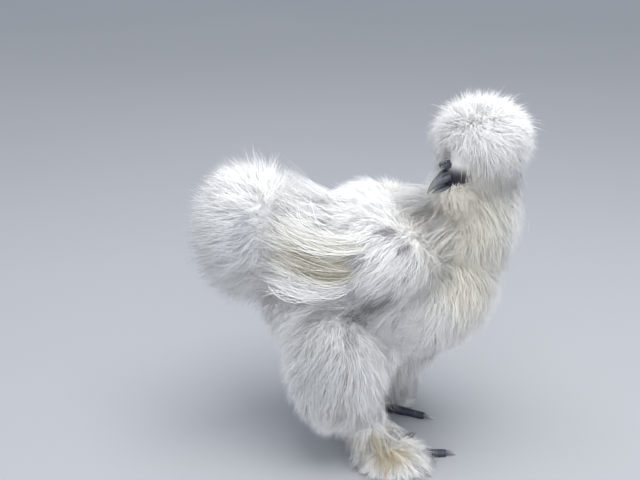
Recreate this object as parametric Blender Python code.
"""A silkie hen at life size, standing still with its head turned back over its right side.

Metres, +Z up. The hen faces +X and its right side is towards -Y. The floor is z = 0.
Each mass of plumage is a mound: an egg-shaped core with flat, tapered locks that
grow from it, lie away from the mound's pole and end on a larger egg, the outline of the coat.
"""
import math
import random

import bmesh
import bpy
from mathutils import Matrix, Vector

MM = 0.001
GAP = 0.3 * MM              # clearance between solids that touch
SEED = 20
FLAT_SINK = 0.5 * MM        # how deep a sole is cut by the floor
SOLVER = "MANIFOLD"         # EXACT leaves open seams where dozens of locks cross

# Legs and feet
SHANK_R = 4.6 * MM
HOCK_R = 6.5 * MM
BALL_RADII = Vector((6.5, 6.5, 6.4)) * MM
ANKLE_RISE = Vector((0, 0, 3)) * MM     # from a foot's ball to where its shank ends
TOE_R = 3.9 * MM
TOE_TIP_R = 2.7 * MM
CLAW_LENGTH = 9.5 * MM
CLAW_R = 1.9 * MM
CLAW_SINK = 1.5 * MM        # how far a claw's root lies inside its toe
SCUTES = 3                  # raised plates along each toe
FIFTH_RISE = 5 * MM         # the fifth toe starts this much higher and points up
FIFTH_LIFT = 9 * MM

# Head, in its own axes: x to the bill's tip, y to the left, z up, from between the eyes
EYES_AT = Vector((65.5, -22.0, 214.5)) * MM
HEAD_YAW = math.radians(-155)
HEAD_TILT = math.radians(15)
EYE_R = 4.6 * MM
EYE_OUT = 8.9 * MM
LID_STEPS = 8
COMB_AT = Vector((15, 0, 6)) * MM
COMB_RADII = Vector((5.5, 5, 3)) * MM
COMB_BULBS = 5
BULB_R = 2.48 * MM

WHITE = (0.88, 0.88, 0.86)
CREAM = (0.80, 0.75, 0.62)
MULBERRY = (0.10, 0.08, 0.11)
SLATE = (0.09, 0.10, 0.13)
HORN = (0.33, 0.33, 0.35)
EYE_BLACK = (0.02, 0.015, 0.015)

# Where a union leaves slivers, short edges close up and faces nearly in one plane become one.
SHORT_EDGE = 0.04 * MM
FLAT_ANGLES = [math.radians(degrees) for degrees in (1.0, 0.7, 0.5, 0.3, 0.1)]
LEAST_AREA = 1e-11   # square metres

# How a lock is drawn: rings from its root to near its tip, with its widths and depths there
FACET_ROOM = 1.05           # a mound's claim goes round the facets of its solid
LOCK_STEPS = (0.0, 0.4, 0.75)
LOCK_WIDTHS = (0.8, 1.0, 0.7)
LOCK_DEPTHS = (1.0, 0.9, 0.6)

draw = random.Random(SEED)


def clear_scene():
    for obj in list(bpy.data.objects):
        bpy.data.objects.remove(obj)


def material(name, colour, roughness):
    mat = bpy.data.materials.new(name)
    mat.use_nodes = True
    shader = mat.node_tree.nodes["Principled BSDF"]
    shader.inputs["Base Color"].default_value = (*colour, 1)
    shader.inputs["Roughness"].default_value = roughness
    shader.inputs["Metallic"].default_value = 0
    return mat


def object_from(bm, name):
    bmesh.ops.recalc_face_normals(bm, faces=bm.faces)
    mesh = bpy.data.meshes.new(name)
    bm.to_mesh(mesh)
    bm.free()
    obj = bpy.data.objects.new(name, mesh)
    bpy.context.scene.collection.objects.link(obj)
    return obj


def loft(name, rings, tip=None):
    """A closed tube through the rings, capped at the root, and capped or drawn to a tip."""
    bm = bmesh.new()
    rows = [[bm.verts.new(p) for p in ring] for ring in rings]
    sides = len(rows[0])
    for low, high in zip(rows, rows[1:]):
        for i in range(sides):
            j = (i + 1) % sides
            bm.faces.new((low[i], low[j], high[j], high[i]))
    bm.faces.new(rows[0])
    if tip is None:
        bm.faces.new(rows[-1])
    else:
        point = bm.verts.new(tip)
        for i in range(sides):
            bm.faces.new((rows[-1][i], rows[-1][(i + 1) % sides], point))
    bmesh.ops.triangulate(bm, faces=bm.faces)
    return object_from(bm, name)


def oval(centre, across, up, half_width, half_height, sides):
    """A ring of points round a centre."""
    ring = []
    for i in range(sides):
        a = math.tau * i / sides
        ring.append(centre + across * half_width * math.cos(a) + up * half_height * math.sin(a))
    return ring


def ball(name, centre, radii, turn=None, segments=12, rows=8):
    """An ellipsoid, with its sizes in the mesh and not in the object's scale."""
    bm = bmesh.new()
    bmesh.ops.create_uvsphere(bm, u_segments=segments, v_segments=rows, radius=1)
    place = Matrix.Translation(centre) @ (turn or Matrix()).to_4x4() @ Matrix.Diagonal((*radii, 1))
    bmesh.ops.transform(bm, matrix=place, verts=bm.verts)
    bmesh.ops.triangulate(bm, faces=bm.faces)
    return object_from(bm, name)


# Booleans

def collection_of(objects):
    group = bpy.data.collections.new("pieces")
    bpy.context.scene.collection.children.link(group)
    for obj in objects:
        bpy.context.scene.collection.objects.unlink(obj)
        group.objects.link(obj)
    return group


def boolean(obj, operation, pieces):
    """Joins or cuts the object with the pieces, which are then removed."""
    if not pieces:
        return obj
    group = collection_of(pieces)
    step = obj.modifiers.new(operation, "BOOLEAN")
    step.operation = operation
    step.operand_type = "COLLECTION"
    step.collection = group
    step.solver = SOLVER
    graph = bpy.context.evaluated_depsgraph_get()
    made = bpy.data.meshes.new_from_object(obj.evaluated_get(graph))
    obj.modifiers.clear()
    obj.data = made
    for piece in pieces:
        bpy.data.objects.remove(piece)
    bpy.data.collections.remove(group)
    return obj


def shells(bm):
    """The separate closed surfaces of a mesh, each as a list of faces."""
    found, left = [], set(bm.faces)
    while left:
        stack = [left.pop()]
        shell = list(stack)
        while stack:
            for edge in stack.pop().edges:
                for face in edge.link_faces:
                    if face in left:
                        left.remove(face)
                        stack.append(face)
                        shell.append(face)
        found.append(shell)
    return found


def volume(faces):
    total = 0
    for face in faces:
        corners = [v.co for v in face.verts]
        for b, c in zip(corners[1:], corners[2:]):
            total += corners[0].dot(b.cross(c)) / 6
    return total


def neighbours(vert):
    return {edge.other_vert(vert) for edge in vert.link_edges}


def collapse_short_edges(bm):
    """Closes up each short edge whose ends share just two neighbours, so the surface stays closed."""
    for edge in [edge for edge in bm.edges if edge.calc_length() < SHORT_EDGE]:
        if edge.is_valid and edge.calc_length() < SHORT_EDGE:
            kept, gone = edge.verts
            if len(neighbours(kept) & neighbours(gone)) == 2:
                bmesh.ops.weld_verts(bm, targetmap={gone: kept})


def levelled(bm, angle):
    """A copy with faces within this angle of one plane made one, or None if that would open it."""
    copy = bm.copy()
    bmesh.ops.dissolve_limit(copy, angle_limit=angle, verts=copy.verts, edges=copy.edges)
    bmesh.ops.triangulate(copy, faces=copy.faces)
    collapse_short_edges(copy)
    sound = all(edge.is_manifold for edge in copy.edges) and all(v.is_manifold for v in copy.verts)
    if sound and len(shells(copy)) == 1 and min(face.calc_area() for face in copy.faces) > LEAST_AREA:
        return copy
    copy.free()
    return None


def keep_largest(obj):
    """Keeps the largest closed surface, without the slivers that a union leaves, and counts the rest."""
    bm = bmesh.new()
    bm.from_mesh(obj.data)
    bmesh.ops.triangulate(bm, faces=bm.faces)
    found = sorted(shells(bm), key=volume)
    dropped = [v for shell in found[:-1] for face in shell for v in face.verts]
    bmesh.ops.delete(bm, geom=list(set(dropped)), context="VERTS")
    collapse_short_edges(bm)
    for angle in FLAT_ANGLES:
        level = levelled(bm, angle)
        if level is not None:
            bm.free()
            bm = level
            break
    bm.to_mesh(obj.data)
    bm.free()
    return len(found) - 1


# Mounds of plumage

class Mound:
    """An egg-shaped mass of plumage. The lie of its locks starts at the pole."""

    def __init__(self, centre, tips, core, pole, pitch=0):
        self.centre = Vector(centre) * MM
        self.tips = Vector(tips) * MM
        self.core = Vector(core) * MM
        self.turn = Matrix.Rotation(math.radians(pitch), 3, "Y")
        self.pole = Vector(pole).to_track_quat("Z", "X").to_matrix()

    def at(self, polar, around, share):
        """The point at these angles from the pole, from the core (share 0) to the tips (1)."""
        on_unit = self.pole @ Vector((
            math.sin(polar) * math.cos(around),
            math.sin(polar) * math.sin(around),
            math.cos(polar)))
        radii = self.core.lerp(self.tips, share)
        return self.centre + self.turn @ Vector(u * r for u, r in zip(on_unit, radii))

    def depth(self, point, radii):
        """Under 1 inside the ellipsoid of these radii."""
        local = self.turn.transposed() @ (point - self.centre)
        return math.sqrt(sum((c / r) ** 2 for c, r in zip(local, radii)))

    def holds(self, point, share=1.0):
        return self.depth(point, self.core.lerp(self.tips, share)) < 1

    def outward(self, point):
        local = self.turn.transposed() @ (point - self.centre)
        return (self.turn @ Vector(c / r ** 2 for c, r in zip(local, self.tips))).normalized()

    def core_solid(self, name, grow=0.0):
        radii = self.core + Vector((grow,) * 3)
        return ball(name, self.centre, radii, self.turn)

    def claim(self, name):
        """The space of the whole mound, drawn round its facets, for clearing a lower coat."""
        radii = self.tips * FACET_ROOM + Vector((GAP,) * 3)
        return ball(name, self.centre, radii, self.turn)


def lock(mound, polar, around, reach, width, thick, root=-0.35, tip=0.97, curl=0.0):
    """One flat lock, from a root sunk in the core to its tip on the coat's outline."""
    def line(t):
        share = root + (tip - root) * t ** 0.8
        return mound.at(polar + reach * t, around + curl * t, share)

    rings = []
    for t, wide, deep in zip(LOCK_STEPS, LOCK_WIDTHS, LOCK_DEPTHS):
        centre = line(t)
        along = (line(t + 0.02) - line(max(t - 0.02, 0))).normalized()
        side = along.cross(mound.outward(centre)).normalized()
        keel = side.cross(along) * thick * deep
        edge = side * width * wide / 2
        rings.append([centre - edge, centre + edge, centre + keel])
    return loft("lock", rings, line(1.0))


def coat(mound, rings, first, last, width, reach, thick=2.6 * MM, skip=None):
    """Rings of locks from the first to the last angle from the pole, each over the gaps of the next.

    The reach is how far round a lock lies, in degrees, for the first and the last ring.
    """
    locks = []
    for ring in range(rings):
        share = ring / max(rings - 1, 1)
        polar = math.radians(first + (last - first) * share)
        lie = math.radians(reach[0] + (reach[1] - reach[0]) * share)
        girth = math.tau * math.sin(polar + lie / 2) * sum(mound.core.lerp(mound.tips, 0.4)) / 3
        count = max(3, round(girth / width))
        for i in range(count):
            around = math.tau * (i + 0.5 * (ring % 2) + draw.uniform(-0.08, 0.08)) / count
            tip = draw.uniform(0.92, 0.99)
            length = lie * draw.uniform(0.9, 1.1)
            curl = draw.uniform(-0.12, 0.12)
            spread = girth / count * draw.uniform(0.88, 0.96)
            end = mound.at(polar + length, around + curl, tip)
            middle = mound.at(polar + 0.5 * length, around, 0.5)
            if skip and skip(end, middle):
                continue
            locks.append(lock(mound, polar, around, length, spread, thick, tip=tip, curl=curl))
    return locks


# The masses of the body: centre, half-sizes to the tips, half-sizes of the core, pole, forward lean

CREST = Mound((74, -20, 231), (37, 36, 33), (23, 23, 19), (-0.45, -0.3, 0.84))
BEARD = Mound((59, -25, 194), (17, 17, 15), (11, 11, 9), (0.2, 0.0, 0.98))
NECK = Mound((71, -7, 172), (38, 40, 50), (24, 25, 39), (-0.14, 0.0, 0.99), 8)
BREAST = Mound((52, -2, 120), (44, 51, 54), (31, 37, 40), (-0.2, 0.0, 0.98), 30)
BACK = Mound((2, 0, 136), (60, 54, 58), (47, 40, 42), (1.0, 0.0, 0.3))
VENT = Mound((-36, 0, 103), (42, 46, 40), (28, 32, 27), (0.9, 0.0, 0.45))
BELLY = Mound((4, 0, 92), (46, 42, 42), (34, 30, 28), (0.0, 0.0, 1.0))
TAIL = Mound((-79, 0, 160), (47, 48, 57), (26, 29, 35), (1.0, 0.0, -0.1))
TORSO = (BACK, BELLY, VENT, BREAST)
RIGHT, LEFT = -1, 1


def wing_mound(side):
    return Mound((10, side * 42, 156), (42, 27, 33), (29, 17, 22), (0.8, side * 0.2, 0.6))


def thigh_mound(side):
    if side == RIGHT:
        return Mound((-20, -37, 75), (41, 36, 57), (25, 22, 39), (0, 0, 1))
    return Mound((22, 38, 74), (34, 36, 57), (22, 22, 39), (0, 0, 1))


WINGS = {side: wing_mound(side) for side in (RIGHT, LEFT)}
THIGHS = {side: thigh_mound(side) for side in (RIGHT, LEFT)}
HOCKS = {RIGHT: Vector((-12, -35, 47)) * MM, LEFT: Vector((10, 35, 47)) * MM}
BALLS = {RIGHT: Vector((17, -35, 6)) * MM, LEFT: Vector((10, 35, 6)) * MM}
SIDE_NAMES = {RIGHT: "right", LEFT: "left"}


def head_axes():
    turn = Matrix.Rotation(HEAD_YAW, 3, "Z") @ Matrix.Rotation(HEAD_TILT, 3, "Y")
    return Matrix.Translation(EYES_AT) @ turn.to_4x4()


HEAD = head_axes()


def head_rings(stations, sides):
    """Rings across the head's own x axis. A station is its place, half-width, half-height and rise, in mm."""
    rings = []
    for along, wide, high, rise in stations:
        middle = Vector((along, 0, rise)) * MM
        ring = oval(middle, Vector((0, 1, 0)), Vector((0, 0, 1)), wide * MM, high * MM, sides)
        rings.append([HEAD @ p for p in ring])
    return rings


def grown_stations(stations, grow, behind):
    """The stations made wider and higher by a clearance, with the first moved back by a share of it."""
    g = grow / MM
    grown = [[x, w + g, h + g, z] for x, w, h, z in stations]
    grown[0][0] -= g * behind
    return grown


def skull(grow=0.0):
    stations = (
        (-21, 5, 5, 3), (-16, 10, 10, 2), (-7, 12.5, 13, 1),
        (3, 12, 12, 0), (10, 8.5, 9.5, -1.5), (13.5, 6, 7.5, -2.5))
    return loft("skull", head_rings(grown_stations(stations, grow, 0), 12))


def upper_bill(grow=0.0):
    stations = ((13.9, 5.4, 5.5, -0.6), (19, 4.4, 4.6, -1.7), (25, 3.1, 3.4, -3.2), (30, 1.8, 2.1, -5.2))
    tip = HEAD @ (Vector((34, 0, -8.5)) * MM + Vector((grow, 0, 0)))
    return loft("upper_bill", head_rings(grown_stations(stations, grow, 1), 8), tip)


def lower_bill(grow=0.0):
    stations = ((13.9, 4.8, 1.9, -8.6), (20, 3.8, 1.6, -8.6), (26, 2.3, 1.1, -8.9))
    tip = HEAD @ (Vector((30, 0, -9.3)) * MM + Vector((grow, 0, 0)))
    return loft("lower_bill", head_rings(grown_stations(stations, grow, 1), 8), tip)


def eye(side, grow=0.0):
    name = "eye_" + SIDE_NAMES[side]
    return ball(name, HEAD @ Vector((0, side * EYE_OUT, 0)), (EYE_R + grow,) * 3, HEAD.to_3x3(), 10, 7)


def comb(grow=0.0):
    """A small walnut comb: a low cushion with a ring of bulbs."""
    body = ball("comb", HEAD @ COMB_AT, [r + grow for r in COMB_RADII], HEAD.to_3x3(), 8, 5)
    bulbs = []
    for i in range(COMB_BULBS):
        turn = math.tau * i / COMB_BULBS
        at = COMB_AT + Vector((3.2 * math.cos(turn), 3.0 * math.sin(turn), 2)) * MM
        bulbs.append(ball("bulb", HEAD @ at, (BULB_R + grow,) * 3, None, 7, 4))
    return boolean(body, "UNION", bulbs)


def lid(side, grow=0.0):
    """The ring of bare skin round an eye."""
    bm = bmesh.new()
    rows = []
    for i in range(LID_STEPS):
        a = math.tau * i / LID_STEPS
        middle = Vector((4.6 * math.cos(a), side * 10.7, 3.9 * math.sin(a))) * MM
        out = Vector((math.cos(a), 0, math.sin(a)))
        ring = oval(middle, out, Vector((0, side, 0)), 1.1 * MM + grow, 1.5 * MM + grow, 4)
        rows.append([bm.verts.new(HEAD @ p) for p in ring])
    for low, high in zip(rows, rows[1:] + rows[:1]):
        for k in range(4):
            m = (k + 1) % 4
            bm.faces.new((low[k], low[m], high[m], high[k]))
    bmesh.ops.triangulate(bm, faces=bm.faces)
    return object_from(bm, "lid")


def tube(name, points, radii, sides, tip=None):
    """A round tube along points, each with its own radius."""
    rings = []
    for i, (p, r) in enumerate(zip(points, radii)):
        ahead = points[min(i + 1, len(points) - 1)] - points[max(i - 1, 0)]
        across = ahead.cross(Vector((0, 0, 1)))
        across = across.normalized() if across.length > 1e-9 else Vector((0, 1, 0))
        up = across.cross(ahead).normalized()
        rings.append(oval(p, across, up, r, r, sides))
    return loft(name, rings, tip)


def shank_core(side, grow=0.0):
    hock, foot = HOCKS[side], BALLS[side] + ANKLE_RISE
    steps = (0.0, 0.15, 0.4, 0.75, 1.0)
    radii = [r + grow for r in (HOCK_R, HOCK_R * 0.9, SHANK_R, SHANK_R * 0.92, SHANK_R * 1.05)]
    points = [hock.lerp(foot, t) for t in steps]
    ends = (points[0] - points[-1]).normalized() * grow
    points[0] += ends
    points[-1] -= ends
    return tube("shank", points, radii, 8)


# Toes: heading from the foot's own line, in degrees towards its inner side, and length
TOES = {
    "inner": (48, 31 * MM),
    "middle": (-2, 42 * MM),
    "outer": (-46, 31 * MM),
    "hind": (160, 15 * MM),
    "fifth": (178, 17 * MM),
}
FOOT_TURN = {RIGHT: 4, LEFT: -25}     # each foot's line, in degrees to the left of straight ahead


def toe_line(side, toe):
    """The start, the end and the heading of a toe."""
    heading, length = TOES[toe]
    angle = math.radians(FOOT_TURN[side] - side * heading)
    ahead = Vector((math.cos(angle), math.sin(angle), 0))
    start = BALLS[side].copy()
    start.z = TOE_R - FLAT_SINK
    end = start + ahead * length
    end.z = TOE_TIP_R - FLAT_SINK
    if toe == "fifth":
        start.z += FIFTH_RISE
        end = start + ahead * length + Vector((0, 0, FIFTH_LIFT))
    return start, end, ahead


def toe_solid(side, toe, grow=0.0):
    """A toe with low plates along it, down to the floor."""
    start, end, ahead = toe_line(side, toe)
    points, radii = [start - ahead * grow], [TOE_R + grow]
    for i in range(SCUTES):
        for step, swell in ((0.15, 1.06), (0.85, 0.94)):
            t = (i + step + 0.35) / (SCUTES + 0.35)
            points.append(start.lerp(end, t))
            radii.append((TOE_R + (TOE_TIP_R - TOE_R) * t) * swell + grow)
    return tube("toe", points, radii, 6, end + ahead * (1.2 * MM + grow))


def claw(side, toe, grow=0.0):
    start, end, ahead = toe_line(side, toe)
    drop = end.z - 0.8 * MM if toe != "fifth" else -3 * MM
    points, radii = [], []
    for i in range(4):
        t = i / 4
        at = end + ahead * (CLAW_LENGTH * t - CLAW_SINK) + Vector((0, 0, 0.7 * MM - drop * t * t))
        points.append(at)
        radii.append(CLAW_R * (1 - 0.55 * t) + grow)
    tip = end + ahead * (CLAW_LENGTH + grow - CLAW_SINK) + Vector((0, 0, 0.7 * MM - drop))
    if toe != "fifth":
        tip.z = max(tip.z, 0.4 * MM)
    return tube(f"claw_{SIDE_NAMES[side]}_{toe}", points, radii, 6, tip)


def floor_cutter():
    """A slab larger than the hen, with its top at the floor."""
    slab = Vector((600, 400, 50)) * MM
    bm = bmesh.new()
    bmesh.ops.create_cube(bm, size=1)
    bmesh.ops.scale(bm, vec=slab, verts=bm.verts)
    bmesh.ops.translate(bm, vec=(0, 0, -slab.z / 2), verts=bm.verts)
    return object_from(bm, "below_floor")


# Flight feathers: the count, length and distance from the middle plane of each tier, then a vane's form
VANE_TIERS = ((6, 74 * MM, 57), (5, 60 * MM, 61.5))
VANE_FAN = 17               # degrees above and below the level
VANE_BOW = 5 * MM
VANE_SAG = 3 * MM
VANE_WIDTH = 7.2 * MM
VANE_R = 0.8 * MM


def flight_vanes(side):
    """The wing's long loose flight feathers, in two tiers that fan back from the wrist."""
    vanes = []
    for tier, (count, length, out) in enumerate(VANE_TIERS):
        for i in range(count):
            t = i / (count - 1)
            start = Vector((6 - 4 * tier, side * (out - 6), 168 - 30 * t)) * MM
            slope = math.radians(VANE_FAN * (1 - 2 * t))
            back = Vector((-math.cos(slope), 0, math.sin(slope)))
            rings = []
            for step, wide in ((0.0, 0.7), (0.35, 1.0), (0.7, 0.8)):
                bow = VANE_BOW * math.sin(math.pi * step)
                sag = VANE_SAG * 4 * (step - 1) * step
                at = start + back * length * step + Vector((0, side * bow, sag))
                half = VANE_WIDTH / 2 * wide
                rings.append(oval(at, Vector((0, 0, 1)), Vector((0, 1, 0)), half, VANE_R, 4))
            tip = start + back * length * draw.uniform(0.94, 1.04) - Vector((0, side * 3, 0)) * MM
            vanes.append(loft("vane", rings, tip))
    return vanes


def fan_mound(side):
    """The space of a wing's flight feathers, which the coats under it stay out of."""
    return Mound((-26, side * 55, 154), (44, 10, 31), (20, 5, 15), (1, 0, 0))


FANS = {side: fan_mound(side) for side in (RIGHT, LEFT)}


def finish(obj, name, mat, group):
    """Names a node, gives it its material and smooth shading, and moves it to the hen's collection."""
    bpy.context.scene.collection.objects.unlink(obj)
    group.objects.link(obj)
    obj.name = name
    obj.data.materials.clear()
    obj.data.materials.append(mat)
    obj.data.shade_smooth()
    obj.data.set_sharp_from_angle(angle=math.radians(50))


def shank_mound(side):
    """The feathering round a shank."""
    hock, foot = HOCKS[side], BALLS[side] + ANKLE_RISE
    slope = math.degrees(math.atan2(foot.x - hock.x, hock.z - foot.z))
    middle = hock.lerp(foot, 0.33) / MM
    return Mound(middle, (18, 16, 29), (8.5, 8, 20), (0, 0, 1), pitch=-slope)


def foot_mound(side):
    """The feathering over the middle and outer toes."""
    at = BALLS[side] / MM
    return Mound((at.x + 3, at.y + side * 10, 3), (34, 27, 20), (19, 14, 10), (-0.1, -side * 0.25, 1))


def nostril(side):
    at = HEAD @ (Vector((20, side * 4.6, -0.6)) * MM)
    return ball("nostril", at, Vector((2.4, 1.5, 0.8)) * MM, HEAD.to_3x3(), 10, 6)


def foot_ball(side, name, grow=0.0):
    """The ball of a foot, where its toes meet."""
    return ball(name, BALLS[side], BALL_RADII + Vector((grow,) * 3))


def tail_base(name, grow=0.0):
    """The fleshy root of the tail."""
    return ball(name, Vector((-58, 0, 140)) * MM, Vector((18, 17, 17)) * MM + Vector((grow,) * 3))


def build_head(made, skin, horn, wet):
    head = boolean(skull(), "UNION", [lid(RIGHT), lid(LEFT)])
    boolean(head, "DIFFERENCE", [eye(RIGHT, GAP), eye(LEFT, GAP), comb(GAP)])
    made["head"] = (head, skin)
    for side in (RIGHT, LEFT):
        made["eye_" + SIDE_NAMES[side]] = (eye(side), wet)
    bill = boolean(upper_bill(), "DIFFERENCE", [comb(GAP), nostril(RIGHT), nostril(LEFT)])
    made["upper_bill"] = (bill, horn)
    made["lower_bill"] = (lower_bill(), horn)
    made["comb"] = (comb(), skin)


def face():
    """The parts of the head, grown by the gap, to cut the plumage round them."""
    around = [skull(GAP), upper_bill(GAP), lower_bill(GAP), comb(GAP)]
    return around + [piece(side, GAP) for piece in (eye, lid) for side in (RIGHT, LEFT)]


def by_the_bill(end, middle):
    """True for a lock that would lie over the bill or the comb."""
    bill = HEAD @ (Vector((26, 0, -4)) * MM)
    return min((bill - end).length, (bill - middle).length) < 14 * MM


def inside(mounds, share=0.85):
    """A test for locks that would lie wholly inside other mounds."""
    def hidden(end, middle):
        return any(m.holds(end, share) for m in mounds) and any(m.holds(middle, share) for m in mounds)
    return hidden


def claims(*mounds):
    """What lies over a coat, as cutters for its locks."""
    return [m.claim("claim") for m in mounds]


def cores(*mounds):
    """What lies under a coat, as cutters for its node."""
    return [m.core_solid("under", GAP) for m in mounds]


def plumage_node(flesh, locks, over, under):
    """Locks cleared of what lies over them, joined to their flesh and cut by what lies under it."""
    tuft = boolean(locks[0], "UNION", locks[1:])
    boolean(tuft, "DIFFERENCE", over)
    body = boolean(flesh[0], "UNION", flesh[1:] + [tuft])
    boolean(body, "DIFFERENCE", under)
    return body


def build_foot(side, over):
    """A foot with its toes, feathered on its middle and outer toes and cut flat by the floor."""
    mound = foot_mound(side)
    core = foot_ball(side, "ball")
    boolean(core, "UNION", [toe_solid(side, toe) for toe in TOES] + [mound.core_solid("pad")])

    def bare_side(end, middle):
        return (end.y - BALLS[side].y) * side < 1 * MM

    locks = coat(mound, 2, 34, 58, 21 * MM, (28, 28), 2.4 * MM, bare_side)
    claws = [claw(side, toe, GAP) for toe in TOES]
    foot = plumage_node([core], locks, over, claws)
    return boolean(foot, "DIFFERENCE", [floor_cutter()])


def build_wing(side):
    def inner(end, middle):
        return end.y * side < 36 * MM

    wing, thigh = WINGS[side], THIGHS[side]
    locks = coat(wing, 3, 34, 112, 25 * MM, (32, 34), 2.0 * MM, skip=inner)
    locks += flight_vanes(side)
    under = cores(*TORSO, TAIL, thigh) + [tail_base("under", GAP)]
    return plumage_node([wing.core_solid("wing")], locks, [], under)


def build_thigh(side):
    def crosses(end, middle):
        return end.y * side < 6 * MM or inside([*TORSO, WINGS[side]], 0.9)(end, middle)

    thigh = THIGHS[side]
    locks = coat(thigh, 4, 46, 132, 29 * MM, (34, 28), skip=crosses)
    under = cores(*TORSO, shank_mound(side)) + [shank_core(side, GAP)]
    over = claims(WINGS[side], FANS[side], TAIL)
    return plumage_node([thigh.core_solid("thigh")], locks, over, under)


def build_shank(side):
    shank, thigh = shank_mound(side), THIGHS[side]
    locks = coat(shank, 2, 62, 96, 20 * MM, (36, 36), 2.6 * MM, skip=inside([thigh]))
    under = [foot_ball(side, "under", GAP), foot_mound(side).core_solid("under", GAP)]
    under += [piece(side, toe, GAP) for piece in (toe_solid, claw) for toe in ("hind", "fifth")]
    return plumage_node([shank_core(side), shank.core_solid("down")], locks, claims(thigh), under)


def build_torso():
    over = [NECK, TAIL, *WINGS.values(), *FANS.values(), *THIGHS.values()]
    locks = []
    for i, (rings, first, last) in enumerate(((4, 40, 112), (3, 54, 126), (3, 70, 140), (4, 60, 132))):
        hidden = inside([*over, *TORSO[i + 1:]])
        locks += coat(TORSO[i], rings, first, last, 34 * MM, (30, 30), skip=hidden)
    return plumage_node([m.core_solid("torso") for m in TORSO], locks, claims(*over), [])


def build_head_plumage(made, plumage, cream):
    locks = coat(CREST, 5, 10, 118, 23 * MM, (24, 28), skip=by_the_bill)
    crest = plumage_node([CREST.core_solid("crest")], locks, [], face() + cores(BEARD, NECK))
    made["crest"] = (crest, plumage)
    locks = coat(BEARD, 2, 60, 100, 17 * MM, (34, 34), skip=inside([CREST]))
    beard = plumage_node([BEARD.core_solid("beard")], locks, claims(CREST), face() + cores(NECK))
    made["beard"] = (beard, cream)
    locks = coat(NECK, 5, 34, 124, 30 * MM, (26, 30), skip=inside([CREST, BEARD]))
    under = face() + cores(BREAST, BACK)
    made["neck"] = (plumage_node([NECK.core_solid("neck")], locks, claims(CREST, BEARD), under), plumage)


def build_tail():
    locks = coat(TAIL, 5, 36, 158, 29 * MM, (0, 32), skip=inside([BACK, VENT]))
    over = claims(*WINGS.values(), *FANS.values())
    return plumage_node([TAIL.core_solid("tail"), tail_base("tail_base")], locks, over, cores(*TORSO))


def main():
    clear_scene()
    group = bpy.data.collections.new("silkie_hen")
    bpy.context.scene.collection.children.link(group)
    plumage = material("white_plumage", WHITE, 0.85)
    cream = material("cream_plumage", CREAM, 0.85)
    skin = material("mulberry_skin", MULBERRY, 0.55)
    scaled = material("slate_scales", SLATE, 0.5)
    horn = material("slate_horn", HORN, 0.35)
    wet = material("eye_black", EYE_BLACK, 0.05)
    made = {}
    build_head(made, skin, horn, wet)

    build_head_plumage(made, plumage, cream)
    made["torso"] = (build_torso(), plumage)
    made["tail"] = (build_tail(), plumage)
    for side, name in SIDE_NAMES.items():
        made["wing_" + name] = (build_wing(side), plumage)
        made["thigh_" + name] = (build_thigh(side), plumage)
        made["shank_" + name] = (build_shank(side), plumage)
        over = claims(shank_mound(side), THIGHS[side]) + [shank_core(side, GAP)]
        made["foot_" + name] = (build_foot(side, over), scaled)
        for toe in TOES:
            made[f"claw_{name}_{toe}"] = (claw(side, toe), horn)

    total = 0
    for name, (obj, mat) in made.items():
        dropped = keep_largest(obj)
        finish(obj, name, mat, group)
        total += len(obj.data.polygons)
        print(name, len(obj.data.polygons), "dropped", dropped)
    print("triangles", total)

    # The origin goes to the floor, under the middle of the whole bird.
    corners = [v.co for obj, _ in made.values() for v in obj.data.vertices]
    shift = Vector((
        -(min(c.x for c in corners) + max(c.x for c in corners)) / 2,
        -(min(c.y for c in corners) + max(c.y for c in corners)) / 2,
        -min(c.z for c in corners)))
    for obj, _ in made.values():
        obj.data.transform(Matrix.Translation(shift))
    size = [max(c[i] for c in corners) - min(c[i] for c in corners) for i in range(3)]
    print("shift mm", [round(s / MM, 2) for s in shift], "size mm", [round(s / MM, 1) for s in size])


main()
